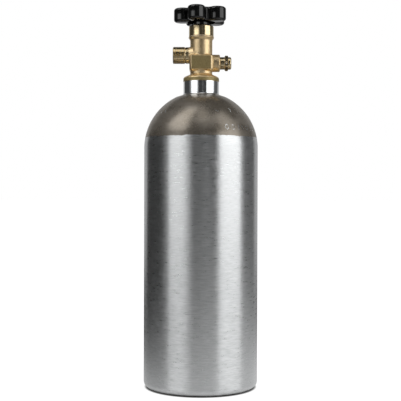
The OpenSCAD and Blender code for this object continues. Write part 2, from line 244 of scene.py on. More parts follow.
def new_material(name, **numbers):
    """A material; numbers go to the sockets of its shader that have those names."""
    material = bpy.data.materials.new(name)
    material.use_nodes = True
    for socket, number in numbers.items():
        shader_input(material, socket).default_value = number
    return material


def shader_input(material, socket):
    return material.node_tree.nodes["Principled BSDF"].inputs[socket]


def node(material, kind, **settings):
    """Adds a node; settings are its properties."""
    made = material.node_tree.nodes.new("ShaderNode" + kind)
    for key, value in settings.items():
        setattr(made, key, value)
    return made


def join(material, source, target):
    material.node_tree.links.new(source, target)


def stretched_noise(material, scale, detail=3.0, roughness=0.55):
    """Noise on Object coordinates, stretched by a scale of (x, y, z) per metre."""
    place = node(material, "TexCoord")
    mapping = node(material, "Mapping")
    mapping.inputs["Scale"].default_value = scale
    pattern = node(material, "TexNoise")
    pattern.inputs["Scale"].default_value = 1.0
    pattern.inputs["Detail"].default_value = detail
    pattern.inputs["Roughness"].default_value = roughness
    join(material, place.outputs["Object"], mapping.inputs["Vector"])
    join(material, mapping.outputs["Vector"], pattern.inputs["Vector"])
    return pattern.outputs["Fac"]


def ramp(material, factor, *stops):
    """A colour ramp from (position, colour) stops; a number is a grey."""
    made = node(material, "ValToRGB")
    elements = made.color_ramp.elements
    while len(elements) < len(stops):
        elements.new(0.5)
    for element, (position, colour) in zip(elements, stops):
        element.position = position
        grey = isinstance(colour, (int, float))
        element.color = (colour, colour, colour, 1) if grey else (*colour, 1)
    join(material, factor, made.inputs["Fac"])
    return made.outputs["Color"]


def blend_colours(material, factor, first, second, mode="MIX"):
    """Mixes two colours by a factor; each may be a socket or a colour."""
    mix = node(material, "Mix", data_type="RGBA", blend_type=mode)
    for socket, value in ((0, factor), (6, first), (7, second)):
        if isinstance(value, bpy.types.NodeSocket):
            join(material, value, mix.inputs[socket])
        elif isinstance(value, (int, float)):
            mix.inputs[socket].default_value = value
        else:
            mix.inputs[socket].default_value = (*value, 1)
    return mix.outputs[2]


def vary(material, socket, factor, *stops):
    """Lets a pattern drive one socket of the shader through a ramp."""
    join(material, ramp(material, factor, *stops), shader_input(material, socket))


def bump(material, height, distance, strength=1.0):
    """Raises the surface by a height pattern; distance is in metres."""
    made = node(material, "Bump")
    made.inputs["Distance"].default_value = distance
    made.inputs["Strength"].default_value = strength
    join(material, height, made.inputs["Height"])
    join(material, made.outputs["Normal"], shader_input(material, "Normal"))


def scratched_round(material, axis):
    """Makes scratches run round an axis, so that highlights stretch along it."""
    shader_input(material, "Anisotropic Rotation").default_value = 0.25
    tangent = node(material, "Tangent", direction_type="RADIAL", axis=axis)
    join(material, tangent.outputs["Tangent"], shader_input(material, "Tangent"))


def map_range(owner, value, *limits):
    """Maps a socket's value; limits are from min, from max, to min and to max."""
    made = node(owner, "MapRange")
    for name, limit in zip(("From Min", "From Max", "To Min", "To Max"), limits):
        made.inputs[name].default_value = limit
    join(owner, value, made.inputs["Value"])
    return made.outputs["Result"]


def combine(owner, operation, first, second):
    """One value from two sockets, by an operation such as MULTIPLY."""
    made = node(owner, "Math", operation=operation)
    join(owner, first, made.inputs[0])
    join(owner, second, made.inputs[1])
    return made.outputs["Value"]


def measure(owner, operation, way=(0, 0, 0)):
    """How far a point is from the object's origin (LENGTH), or along a way (DOT_PRODUCT)."""
    place = node(owner, "TexCoord")
    made = node(owner, "VectorMath", operation=operation)
    made.inputs[1].default_value = way
    join(owner, place.outputs["Object"], made.inputs[0])
    return made.outputs["Value"]


# %% [markdown]
# ### Brushed aluminium
#
# The wall was brushed while the cylinder turned, so the scratches run round it.
# Light spreads across the scratches, up and down, and hardly at all along them.
# That is anisotropy: the tangent runs round the Z axis, and a quarter turn makes
# the highlight stretch upright. Noise that is long in X and Y and very short in Z
# gives the scratches themselves.

# %% Brushed aluminium


def brushed_aluminium():
    material = new_material("brushed_aluminium", Metallic=1.0, Anisotropic=0.88)
    scratched_round(material, "Z")
    fine = stretched_noise(material, (160, 160, 2400), detail=4)
    coarse = stretched_noise(material, (90, 90, 520), detail=3)
    grain = blend_colours(material, 0.5, fine, coarse)
    vary(material, "Base Color", grain, (0.32, (0.60, 0.62, 0.62)), (0.68, (0.86, 0.87, 0.88)))
    vary(material, "Roughness", coarse, (0.3, 0.26), (0.7, 0.40))
    bump(material, fine, 0.00004)
    return material


# %% [markdown]
# ### Heat-tinted shoulder
#
# The shoulder is spun shut while hot and then heat-treated. The oxide leaves it
# brown-grey, half dull, with cloudy patches and faint rings from the spinning.

# %% Tinted shoulder


def tinted_shoulder():
    material = new_material("tinted_shoulder", Metallic=0.75)
    clouds = stretched_noise(material, (38, 38, 70), detail=6)
    specks = stretched_noise(material, (420, 420, 420), detail=3)
    base = ramp(material, clouds, (0.35, (0.235, 0.205, 0.165)), (0.66, (0.33, 0.295, 0.25)))
    darker = ramp(material, specks, (0.35, 0.42), (0.65, 0.75))
    speckled = blend_colours(material, 0.35, base, darker, "MULTIPLY")
    join(material, speckled, shader_input(material, "Base Color"))
    vary(material, "Roughness", clouds, (0.3, 0.22), (0.7, 0.34))
    bump(material, specks, 0.00005, 0.6)
    return material


# %% [markdown]
# ### Turned and plain aluminium
#
# The neck is faced and turned after heat treatment, so it is nearly a mirror,
# with the faintest rings. The bottom and the inside keep the grey skin of the
# drawn blank. On the lowest band of the outside, that darker grey also paints
# shade along the bottom edge.

# %% Turned and plain aluminium


def turned_aluminium():
    material = new_material("turned_aluminium", Metallic=1.0, Anisotropic=0.4)
    scratched_round(material, "Z")
    rings = stretched_noise(material, (30, 30, 2600), detail=2)
    vary(material, "Base Color", rings, (0.3, (0.86, 0.88, 0.89)), (0.7, (0.92, 0.94, 0.95)))
    vary(material, "Roughness", rings, (0.3, 0.06), (0.7, 0.13))
    bump(material, rings, 0.00001)
    return material


def plain_aluminium():
    material = new_material("plain_aluminium", Metallic=1.0)
    patches = stretched_noise(material, (60, 60, 60), detail=5)
    vary(material, "Base Color", patches, (0.3, (0.33, 0.32, 0.31)), (0.7, (0.50, 0.49, 0.48)))
    vary(material, "Roughness", patches, (0.3, 0.42), (0.7, 0.58))
    return material


# %% [markdown]
# ### Brass
#
# The valve body is a hot forging that was tumbled after turning: warm, satin, with
# a fine grain and darker patches. The bonnet and the threaded outlet are turned
# bright, and the flats of the wrench block and the flange's rim are dull and olive.

# %% Brass finishes


def satin_brass():
    material = new_material("satin_brass", Metallic=1.0)
    patches = stretched_noise(material, (110, 110, 110), detail=5)
    grain = stretched_noise(material, (1500, 1500, 1500), detail=2)
    vary(material, "Base Color", patches, (0.3, (0.81, 0.61, 0.345)), (0.7, (0.93, 0.74, 0.45)))
    vary(material, "Roughness", patches, (0.3, 0.36), (0.7, 0.46))
    bump(material, grain, 0.00003, 0.3)
    return material


def dull_brass():
    material = new_material("dull_brass", Metallic=0.7, Roughness=0.5)
    grain = stretched_noise(material, (900, 900, 900), detail=4)
    vary(material, "Base Color", grain, (0.3, (0.270, 0.208, 0.090)), (0.7, (0.380, 0.298, 0.142)))
    bump(material, grain, 0.00006, 0.5)
    return material


def turned_brass(name, axis, roughness, anisotropy):
    """Brass turned about an axis; its rings spread light along that axis."""
    material = new_material(name, Metallic=1.0, Anisotropic=anisotropy)
    scratched_round(material, axis)
    rings = stretched_noise(material, (2400, 30, 30) if axis == "X" else (30, 30, 2400), detail=2)
    vary(material, "Base Color", rings, (0.3, (0.76, 0.60, 0.35)), (0.7, (0.91, 0.76, 0.49)))
    low, high = roughness
    vary(material, "Roughness", rings, (0.3, low), (0.7, high))
    return material


# %% [markdown]
# ### Handwheel, seals and small steel
#
# The handwheel is a glossy black moulding: a clear smooth skin over black, with
# a slight ripple. Seals are black rubber or white nylon, and the nut and washer
# on top of the wheel are zinc-plated steel.

# %% Black moulding, seals, copper and steel


def black_gloss():
    material = new_material("black_gloss")
    shader_input(material, "Specular IOR Level").default_value = 0.65
    ripple = stretched_noise(material, (120, 120, 120), detail=2)
    dust = stretched_noise(material, (700, 700, 700), detail=4)
    vary(material, "Base Color", dust, (0.35, 0.001), (0.75, 0.003))
    vary(material, "Roughness", dust, (0.3, 0.05), (0.7, 0.09))
    bump(material, ripple, 0.00005, 0.15)
    return material


def seal(name, colour, roughness):
    material = new_material(name, Roughness=roughness)
    grain = stretched_noise(material, (800, 800, 800), detail=3)
    darker = [c * 0.75 for c in colour]
    vary(material, "Base Color", grain, (0.3, darker), (0.7, colour))
    return material


def plain_metal(name, dark, light, roughness):
    material = new_material(name, Metallic=1.0, Roughness=roughness)
    grain = stretched_noise(material, (500, 500, 500), detail=4)
    vary(material, "Base Color", grain, (0.3, dark), (0.7, light))
    return material


BRUSHED = brushed_aluminium()
TINTED = tinted_shoulder()
TURNED = turned_aluminium()
PLAIN = plain_aluminium()
SATIN = satin_brass()
DULL = dull_brass()
BRIGHT = turned_brass("turned_brass", "Z", (0.13, 0.20), 0.6)
BRIGHT_X = turned_brass("turned_brass_side", "X", (0.14, 0.22), 0.55)
BLACK = black_gloss()
RUBBER = seal("seal_rubber", (0.035, 0.035, 0.035), 0.6)
NYLON = seal("seal_nylon", (0.80, 0.78, 0.72), 0.45)
COPPER = plain_metal("copper", (0.70, 0.33, 0.20), (0.86, 0.48, 0.33), 0.35)
ZINC = plain_metal("zinc_plate", (0.55, 0.56, 0.57), (0.75, 0.76, 0.77), 0.30)

# %% [markdown]
# ## The cylinder shell
#
# A shell of this kind is drawn from one slug: flat foot ring with a shallow
# dish, round lower edge, straight wall, and a shoulder spun to a hemisphere
# round a thick neck. One pen profile runs from the middle of the dish, up the
# outside, over the neck, down the bore and back along the inside, so the shell
# is a closed solid with its true wall.

# %% Shell sizes
WALL = 7.4
BASE = 10.0
EDGE_R = 7.5
INNER_EDGE_R = 20.0
FOOT_RING_W = 10.0
DISH_DEPTH = 3.5
CROWN_EXTRA = 8.0
NECK_R = 20.75
NECK_H = 15.6
NECK_CHAMFER = 0.5
LAND_W = 8.75
LAND_DROP = 3.0
NECK_FILLET_R = 2.0
BORE_R = 9.55
SEAL_SEAT_R = 12.2
SEAL_SEAT_H = 2.5

# Below this height the outside is the plain skin of the foot. Its darker grey also paints the dark line of
# shade along the bottom edge.
FOOT_SKIN_AND_SHADE_H = 1.6

NECK_ROOT = NECK_TOP - NECK_H
LAND_R = NECK_R + LAND_W
DOME_Z = NECK_ROOT - LAND_DROP - math.sqrt(BODY_R**2 - LAND_R**2)
INNER_R = BODY_R - WALL
INNER_DOME_Z = DOME_Z - CROWN_EXTRA

# The tint stops a little way up the hemisphere.
TINT_RISE = 12.3
DOME_STEPS = 110
SHELL_STEPS = 320

# %% Draw and spin the shell


def shell_profile(bm):
    dish_r = BODY_R - EDGE_R - FOOT_RING_W
    ball_r = (dish_r**2 + DISH_DEPTH**2) / (2 * DISH_DEPTH)
    pen = pen_down(bm, 0, DISH_DEPTH)
    dish_angle = math.degrees(math.asin(dish_r / ball_r))
    pen = pen_arc(bm, pen, 0, DISH_DEPTH - ball_r, -dish_angle, 10)
    pen = pen_line(bm, pen, BODY_R - EDGE_R, 0)
    pen = pen_arc(bm, pen, BODY_R - EDGE_R, EDGE_R, 90, 12)
    pen = pen_line(bm, pen, BODY_R, DOME_Z)
    pen = pen_arc(bm, pen, 0, DOME_Z, math.degrees(math.acos(LAND_R / BODY_R)), DOME_STEPS)
    slope = math.atan(LAND_DROP / LAND_W)
    fillet_r = NECK_R + NECK_FILLET_R
    fillet_z = NECK_ROOT - NECK_FILLET_R * math.tan(slope) + NECK_FILLET_R / math.cos(slope)
    pen = pen_line(
        bm, pen, fillet_r - NECK_FILLET_R * math.sin(slope), fillet_z - NECK_FILLET_R * math.cos(slope)
    )
    pen = pen_arc(bm, pen, fillet_r, fillet_z, -(90 - math.degrees(slope)), 6)
    for r, z in (
        (NECK_R, NECK_TOP - NECK_CHAMFER), (NECK_R - NECK_CHAMFER, NECK_TOP), (SEAL_SEAT_R, NECK_TOP),
        (SEAL_SEAT_R, NECK_TOP - SEAL_SEAT_H), (BORE_R, NECK_TOP - SEAL_SEAT_H),
        (BORE_R, INNER_DOME_Z + math.sqrt(INNER_R**2 - BORE_R**2)),
    ):
        pen = pen_line(bm, pen, r, z)
    pen = pen_arc(bm, pen, 0, INNER_DOME_Z, -math.degrees(math.acos(BORE_R / INNER_R)), 24)
    pen = pen_line(bm, pen, INNER_R, BASE + INNER_EDGE_R)
    pen = pen_arc(bm, pen, INNER_R - INNER_EDGE_R, BASE + INNER_EDGE_R, -90, 8)
    pen_line(bm, pen, 0, BASE)


shell_bm = bmesh.new()
shell_profile(shell_bm)
turn(shell_bm, SHELL_STEPS)
print("shell faces", len(shell_bm.faces))

# %% [markdown]
# The finishes are given to faces. A face belongs to the outside if it looks away
# from the dome's centre line, and its height says which finish it has.

# %% Give the shell's faces their finishes
SHELL_FINISHES = (BRUSHED, TINTED, TURNED, PLAIN)


def shell_finish(face):
    """The index of the finish of one face of the shell."""
    middle = face.calc_center_median()
    z = middle.z / MM
    away = middle - Vector((0, 0, min(middle.z, DOME_Z * MM)))
    outside = face.normal.dot(away) > 0
    # The lowest band of the outside is plain skin. Its darker grey also paints shade along the bottom
    # edge.
    if not outside or z < FOOT_SKIN_AND_SHADE_H:
        return 3
    if z > NECK_ROOT + 0.2:
        return 2
    return 1 if z > DOME_Z + TINT_RISE else 0


for face in shell_bm.faces:
    face.material_index = shell_finish(face)

# %% [markdown]
# The lower edge of the tint is ragged, because brushing stopped there by hand.
# The vertices near it slide along the hemisphere by a little noise, so the line
# wanders and the surface keeps its shape.

# %% Make the edge of the tint ragged
TINT_ANGLE = math.asin(TINT_RISE / BODY_R)
FADE_ANGLE = math.radians(6)


def ragged(direction):
    """How far the tint's edge strays at a compass direction, in radians."""
    broad = noise.noise(direction * 4.0) * 0.5
    fine = noise.noise(direction * 26.0) * 0.45 + noise.noise(direction * 70.0) * 0.35
    return (broad + fine) * math.radians(1.4)


dome_centre = Vector((0, 0, DOME_Z * MM))
for vert in shell_bm.verts:
    arm = vert.co - dome_centre
    if abs(arm.length - BODY_R * MM) > 0.01 * MM or arm.z <= 0:
        continue
    angle = math.asin(arm.z / arm.length)
    share = 1 - abs(angle - TINT_ANGLE) / FADE_ANGLE
    if share <= 0:
        continue
    flat = Vector((arm.x, arm.y, 0)).normalized()
    angle += share * ragged(flat)
    vert.co = dome_centre + BODY_R * MM * (flat * math.cos(angle) + Vector((0, 0, math.sin(angle))))

shell = to_object("cylinder_shell_body", shell_bm)
for finish in SHELL_FINISHES:
    shell.data.materials.append(finish)

# %% [markdown]
# ### Stamped marks
#
# Steel stamps leave shallow marks round the shoulder. They are made as generic
# shapes, rings, bars and dots, with no letters or figures. Each is a small tool
# that stands on the hemisphere and is cut out of the shell.

# %% Stamp the shoulder
STAMP_DEPTH = 0.35
STAMP_LINE = 0.75
STAMP_HALF_L = 2.0


def stamp_ring(width, height):
    """An upright oval ring, by turning a bar's profile and squeezing it."""
    outer, inner, end = height / 2, height / 2 - STAMP_LINE, STAMP_HALF_L
    part = turned([(inner, -end), (outer, -end), (outer, end), (inner, end), (inner, -end)], 32)
    bmesh.ops.scale(part, vec=(width / height, 1, 1), verts=part.verts)
    return part


def stamp_bar(width, height):
    return box(width, height, 2 * STAMP_HALF_L)


def add_to(bm, part):
    """Adds the faces of one bmesh to another."""
    mesh = bpy.data.meshes.new("part")
    part.to_mesh(mesh)
    part.free()
    bm.from_mesh(mesh)
    bpy.data.meshes.remove(mesh)


def stamp_place(compass, tilt, lean):
    """Where a stamp stands, in degrees from the front and above the dome's equator."""
    a, t = math.radians(compass), math.radians(tilt)
    outward = Vector((math.sin(a) * math.cos(t), -math.cos(a) * math.cos(t), math.sin(t)))
    across = Vector((math.cos(a), math.sin(a), 0))
    upward = outward.cross(across)
    axes = Matrix((across, upward, outward)).transposed() @ rotation(lean, "Z", 3)
    centre = dome_centre + outward * (BODY_R - STAMP_DEPTH + STAMP_HALF_L) * MM
    return Matrix.Translation(centre) @ axes.to_4x4()


# (kind, compass, tilt, lean, width, height)
STAMPS = [
    ("ring", 27.5, 19.0, 0, 4.6, 6.4), ("ring", 35.0, 19.0, 0, 3.8, 6.4),
    ("bar", 42.5, 19.0, 0, 0.8, 6.2), ("bar", 48.5, 19.0, 25, 0.8, 6.2),
    ("ring", 55.5, 19.0, 0, 3.8, 6.2), ("bar", 62.0, 19.0, 0, 0.8, 6.2),
    ("ring", 69.0, 19.0, 0, 4.2, 6.2), ("bar", 76.0, 19.0, -20, 0.8, 6.2),
    ("bar", 19.5, 37.0, 62, 0.8, 3.6), ("bar", 24.0, 38.0, 70, 0.7, 1.6),
    ("bar", 39.0, 38.0, -12, 0.8, 4.6), ("bar", 38.0, 40.3, 0, 1.2, 1.2),
    ("bar", 47.5, 40.0, 0, 1.2, 1.2), ("bar", 50.5, 36.8, 0, 1.3, 1.3),
    ("bar", 59.5, 37.5, 12, 0.8, 4.2), ("ring", 67.0, 37.5, 0, 3.2, 4.8),
    ("bar", -58.0, 37.0, 24, 0.8, 5.2), ("bar", -50.0, 37.5, 24, 0.8, 4.6),
    ("ring", -68.0, 37.0, 0, 3.4, 5.0),
]


def stamp_tools():
    """All the stamps as separate closed solids in one bmesh."""
    bm = bmesh.new()
    for kind, compass, tilt, lean, width, height in STAMPS:
        part = {"ring": stamp_ring, "bar": stamp_bar}[kind](width, height)
        bmesh.ops.transform(part, matrix=stamp_place(compass, tilt, lean), verts=part.verts)
        bmesh.ops.recalc_face_normals(part, faces=part.faces)
        add_to(bm, part)
    return bm


cut(shell, stamp_tools())
install(shell, "cylinder", "cylinder_shell", "brushed_aluminium")

# %% [markdown]
# ## The forged valve body
#
# The body was pressed hot between dies and then machined. The flange, the column,
# the outlet and the safety boss are turned, so they are lathe profiles with clean
# walls. The wrench block between them keeps its forged skin: a cube with
# chamfered corners and stubs of its neighbours is remeshed to one skin and
# smoothed, which gives the small fillets where the parts meet.

# %% Valve sizes
FLANGE_R = 21.0
FLANGE_RIM = 2.6
FLANGE_EDGE_R = 3.2
FLANGE_SLOPE = math.radians(24)
COLUMN_R = 13.0
LIP_R = 14.85
LIP_H = 1.2
FLARE_H = 2.8
BLOCK_W = 27.7
BLOCK_CHAMFER = 2.3
BLOCK_END_CHAMFER = 1.9
BLOCK_DROP = 11.9
BLOCK_H = 19.3
INLET_R = 9.45
OUTLET_UP = 30.9
OUTLET_REACH = -VALVE_LOW.x
OUTLET_THREAD_R = 9.9
OUTLET_THREAD_L = 14.8
THREAD_PITCH = 1.814
OUTLET_BARREL_R = 9.5
OUTLET_COLLAR_R = 9.6
OUTLET_COLLAR_W = 2.9
OUTLET_FLARE = 1.6
OUTLET_BORE_R = 3.5
OUTLET_SEAT_R = 6.0
OUTLET_SEAT_H = 2.5
SAFETY_UP = 21.7
SAFETY_REACH = 21.97
SAFETY_BOSS_R = 10.1
SAFETY_HOLE_R = 6.6
SAFETY_HOLE_L = 6.4
SAFETY_PORT_R = 2.0
INLET_BORE_R = 3.5
ORIFICE_R = 2.5
SEAT_R = 4.2
SEAT_H = 0.8
CHAMBER_R = 8.5
CHAMBER_UP = 26.1
BONNET_BORE_R = 10.4
BONNET_BORE_H = 8.2
PAD_Z = 399.0
PAD_SIZE = (5.6, 3.0, 3.0)

OUTLET_Z = NECK_TOP + OUTLET_UP
SAFETY_Z = NECK_TOP + SAFETY_UP
BODY_TOP = VALVE_HIGH.z
BLOCK_Z = NECK_TOP + BLOCK_DROP
THREAD_START = OUTLET_REACH - OUTLET_THREAD_L

ALONG_OUTLET = Matrix.Translation((0, 0, OUTLET_Z * MM)) @ rotation(-90, "Y")
ALONG_SAFETY = Matrix.Translation((0, 0, SAFETY_Z * MM)) @ rotation(90, "Y")


def laid(bm, matrix):
    """Lays a piece made along Z where a matrix puts it."""
    bmesh.ops.transform(bm, matrix=matrix, verts=bm.verts)
    return bm


def bar(r, start, end, steps=ROUND_STEPS):
    """A plain round bar along Z."""
    return turned([(0, start), (r, start), (r, end), (0, end)], steps)


# %% The forged skin of the wrench block
VOXEL = 0.4


def wrench_block():
    bm = box(BLOCK_W, BLOCK_W, BLOCK_H)
    upright = [e for e in bm.edges if abs(e.verts[0].co.z - e.verts[1].co.z) > 1 * MM]
    round_edges(bm, upright, BLOCK_CHAMFER)
    ends = [e for e in bm.edges if abs(e.verts[0].co.z - e.verts[1].co.z) < 0.01 * MM]
    round_edges(bm, ends, BLOCK_END_CHAMFER)
    return to_object("wrench_block", moved(bm, 0, 0, BLOCK_Z + BLOCK_H / 2))


forging = wrench_block()
cut(forging, bar(COLUMN_R - 0.2, BLOCK_Z - 3, BLOCK_Z + BLOCK_H + 3), "UNION")
flare = turned([
    (0, 0), (OUTLET_BARREL_R + OUTLET_FLARE, COLUMN_R - 4), (OUTLET_BARREL_R - 0.2, COLUMN_R + 2.5),
    (OUTLET_BARREL_R - 0.2, THREAD_START - 1), (0, THREAD_START - 1),
])
cut(forging, laid(flare, ALONG_OUTLET), "UNION")
cut(forging, laid(bar(SAFETY_BOSS_R - 0.2, 0, SAFETY_REACH - 2), ALONG_SAFETY), "UNION")
skin = forging.modifiers.new("skin", "REMESH")
skin.mode = "VOXEL"
skin.voxel_size = VOXEL * MM
soften = forging.modifiers.new("soften", "SMOOTH")
soften.factor = 0.5
soften.iterations = 6
apply_modifiers(forging)
print("forging faces", len(forging.data.polygons))

# %% [markdown]
# The turned parts are joined to the forging. The flange has a round rim and a
# sloping top, the column flares to a lip under the bonnet, and the outlet has a
# collar, a relief groove and the barrel that carries its thread.

# %% Join the turned parts


def valve_core():
    edge_r = FLANGE_R - FLANGE_EDGE_R
    rim = NECK_TOP + FLANGE_RIM
    tangent_r = edge_r + FLANGE_EDGE_R * math.sin(FLANGE_SLOPE)
    tangent_z = rim + FLANGE_EDGE_R * math.cos(FLANGE_SLOPE)
    column_foot = tangent_z + (tangent_r - COLUMN_R) * math.tan(FLANGE_SLOPE)
    bm = bmesh.new()
    pen = pen_down(bm, 0, VALVE_LOW.z)
    for r, z in ((INLET_R, VALVE_LOW.z), (INLET_R, NECK_TOP), (FLANGE_R, NECK_TOP), (FLANGE_R, rim)):
        pen = pen_line(bm, pen, r, z)
    pen = pen_arc(bm, pen, edge_r, rim, 90 - math.degrees(FLANGE_SLOPE), 10)
    foot = pen_line(bm, pen, COLUMN_R, column_foot)
    waist = pen_line(bm, foot, COLUMN_R, BODY_TOP - LIP_H - FLARE_H)
    lip = pen_line(bm, waist, LIP_R, BODY_TOP - LIP_H)
    top = pen_line(bm, lip, LIP_R, BODY_TOP)
    pen_line(bm, top, 0, BODY_TOP)
    for vert, offset in ((foot, 1.0), (waist, 0.9), (lip, 0.25), (top, 0.3)):
        round_corner(bm, vert, offset)
    turn(bm)
    return to_object("valve_core", bm)


def outlet_blank():
    groove = THREAD_START
    relief_r = OUTLET_THREAD_R - 0.75
    return laid(turned([
        (0, 4), (OUTLET_BARREL_R, 4), (OUTLET_BARREL_R, groove - OUTLET_COLLAR_W, 0.2),
        (OUTLET_COLLAR_R, groove - OUTLET_COLLAR_W, 0.1), (OUTLET_COLLAR_R, groove - 0.5, 0.2),
        (relief_r, groove - 0.1, 0.2), (relief_r, groove + 0.5, 0.2),
        (OUTLET_THREAD_R, groove + 1.2, 0.1), (OUTLET_THREAD_R, OUTLET_REACH - 0.8, 0.1),
        (OUTLET_THREAD_R - 0.8, OUTLET_REACH, 0.1), (0, OUTLET_REACH),
    ]), ALONG_OUTLET)


def safety_boss():
    return laid(turned([
        (0, 4), (SAFETY_BOSS_R, 4), (SAFETY_BOSS_R, SAFETY_REACH - 1, 0.3),
        (SAFETY_BOSS_R - 1, SAFETY_REACH, 0.3), (0, SAFETY_REACH),
    ]), ALONG_SAFETY)


def blank_pad():
    """The small raised plate on the front of the column."""
    bm = box(*PAD_SIZE)
    round_edges(bm, bm.edges[:], 0.3, segments=2)
    return moved(bm, 0, -(COLUMN_R - 1.1), PAD_Z)


valve = valve_core()
cut(valve, forging, "UNION")
for part in (outlet_blank(), safety_boss(), blank_pad()):
    cut(valve, part, "UNION")

# %% [markdown]
# The thread is a groove cut by a single-point tool that moves one pitch along
# for each turn. The tool is a small triangle, swept with a spin that also
# advances. The gas way, the seat, the chamber and the plug's hole are bored.

# %% Cut the thread and the bores
THREAD_DEPTH = 0.3
THREAD_MOUTH = 0.55


def thread_groove(turns, steps_per_turn=72):
    """The groove of the outlet thread, as a closed solid laid along the outlet."""
    bm = bmesh.new()
    outside_r = OUTLET_THREAD_R + 0.4
    corners = [
        pen_down(bm, OUTLET_THREAD_R - THREAD_DEPTH, THREAD_MOUTH / 2),
        pen_down(bm, outside_r, -THREAD_MOUTH / 2), pen_down(bm, outside_r, 1.5 * THREAD_MOUTH),
    ]
    start = bm.faces.new(corners)
    bmesh.ops.spin(
        bm, geom=[start] + start.edges[:] + start.verts[:], cent=(0, 0, 0), axis=(0, 0, 1),
        dvec=(0, 0, THREAD_PITCH / steps_per_turn * MM), angle=math.radians(360 * turns),
        steps=int(turns * steps_per_turn),
    )
    bmesh.ops.recalc_face_normals(bm, faces=bm.faces)
    return laid(moved(bm, 0, 0, THREAD_START + 0.8), ALONG_OUTLET)


def gas_way():
    chamber = NECK_TOP + CHAMBER_UP
    bore = BODY_TOP - BONNET_BORE_H
    return turned([
        (0, VALVE_LOW.z - 1), (INLET_BORE_R, VALVE_LOW.z - 1), (INLET_BORE_R, chamber - 1.2),
        (ORIFICE_R, chamber - 1.2), (ORIFICE_R, chamber + SEAT_H), (SEAT_R, chamber + SEAT_H),
        (SEAT_R, chamber), (CHAMBER_R, chamber),
        (CHAMBER_R, bore), (BONNET_BORE_R, bore), (BONNET_BORE_R, BODY_TOP + 1), (0, BODY_TOP + 1),
    ])


def outlet_way():
    seat = OUTLET_REACH - OUTLET_SEAT_H
    return laid(turned([
        (0, 5), (OUTLET_BORE_R, 5), (OUTLET_BORE_R, seat), (OUTLET_SEAT_R, seat),
        (OUTLET_SEAT_R, OUTLET_REACH - 0.4), (OUTLET_SEAT_R + 0.8, OUTLET_REACH + 0.4),
        (0, OUTLET_REACH + 0.4),
    ]), ALONG_OUTLET)


def safety_way():
    floor = SAFETY_REACH - SAFETY_HOLE_L
    return laid(turned([
        (0, 1), (SAFETY_PORT_R, 1), (SAFETY_PORT_R, floor), (SAFETY_HOLE_R, floor),
        (SAFETY_HOLE_R, SAFETY_REACH + 1), (0, SAFETY_REACH + 1),
    ]), ALONG_SAFETY)


for tool in (thread_groove(7), gas_way(), outlet_way(), safety_way()):
    cut(valve, tool)

# %% [markdown]
# The outlet is turned bright, and the flats of the wrench block and the rim of the
# flange are dull. The rest keeps the satin of the tumbled forging, the block's
# chamfers too, because the tumbling rubs every edge. A face's middle and normal
# say which it has.

# %% Give the valve's faces their finishes


def valve_finish(polygon):
    """The index of the finish of one face; the margins take in its fillets."""
    x, y, z = (value / MM for value in polygon.center)
    if x < -COLUMN_R - 1.5 and math.hypot(y, z - OUTLET_Z) < OUTLET_THREAD_R + 0.4:
        return 1
    if z < NECK_TOP + FLANGE_RIM + 1.2 and math.hypot(x, y) > FLANGE_R - 1.2:
        return 2
    inside_ends = BLOCK_Z - 0.6 < z < BLOCK_Z + BLOCK_H + 0.6
    reach = max(abs(x), abs(y))
    on_flat = abs(reach - BLOCK_W / 2) < 0.4 and max(abs(polygon.normal.x), abs(polygon.normal.y)) > 0.96
    return 2 if inside_ends and on_flat else 0


valve.data.materials.clear()
for material in (SATIN, BRIGHT_X, DULL):
    valve.data.materials.append(material)
for polygon in valve.data.polygons:
    polygon.material_index = valve_finish(polygon)
install(valve, "cylinder", "valve_body", "forged_brass")

# %% [markdown]
# ## Bonnet and safety plug
#
# The bonnet screws into the top of the body and holds the stem. It is turned
# from bar, so one closed profile gives its wall, its boss and the groove for the
# stem's O-ring.

# %% Bonnet
BONNET_R = 14.5
BONNET_BOSS_R = 9.5
BONNET_WALL_H = 12.3
SKIRT_R = 10.3
SKIRT_BORE_R = 7.6
SKIRT_ROOF = 3.1
STEM_BORE_R = 4.83
RING_GROOVE_R = 7.2

bonnet_z = BODY_TOP + 0.6
bonnet_top = bonnet_z + BONNET_WALL_H
roof = bonnet_z - SKIRT_ROOF
groove_low, groove_high = bonnet_z + 1.2, bonnet_z + 5.5
skirt_z = BONNET_LOW.z
boss_top = BONNET_HIGH.z
bonnet = to_object("bonnet_nut_turned", turned([
    (SKIRT_BORE_R, skirt_z), (SKIRT_R, skirt_z), (SKIRT_R, bonnet_z), (BONNET_R, bonnet_z, 0.3),
    (BONNET_R, bonnet_top - 1, 0.3), (BONNET_R - 1, bonnet_top, 0.3), (BONNET_BOSS_R, bonnet_top, 0.1),
    (BONNET_BOSS_R, boss_top - 0.2), (BONNET_BOSS_R - 0.2, boss_top), (STEM_BORE_R, boss_top),
    (STEM_BORE_R, groove_high), (RING_GROOVE_R, groove_high), (RING_GROOVE_R, groove_low),
    (STEM_BORE_R, groove_low), (STEM_BORE_R, roof), (SKIRT_BORE_R, roof), (SKIRT_BORE_R, skirt_z),
]))
install(bonnet, "cylinder", "bonnet_nut", "polished_brass", BRIGHT)

# %% [markdown]
# The safety plug is turned from hexagonal bar. A hexagon that meets a cone keeps
# rounded corners, which is how every hexagon from a lathe looks, so the hexagon
# is the meeting of a six-sided prism and a turned blank with 30 degree chamfers.
# Three vent holes go through the middle of its flats.

# %% Safety plug
HEX_W = 15.875
HEX_L = 4.4
SAFETY_SHANK_R = 6.5
SAFETY_NECK_R = 7.3
SAFETY_NECK_L = 5.4
SAFETY_BORE_R = 3.0
SAFETY_NOSE_L = 3.5
VENT_R = 1.3

# The turned end face of a hexagon is a circle this share of its width across flats.
FACE_SHARE = 0.96

hex_x = SAFETY_REACH + SAFETY_NECK_L
nose_x = hex_x + HEX_L
nose_end = nose_x + SAFETY_NOSE_L


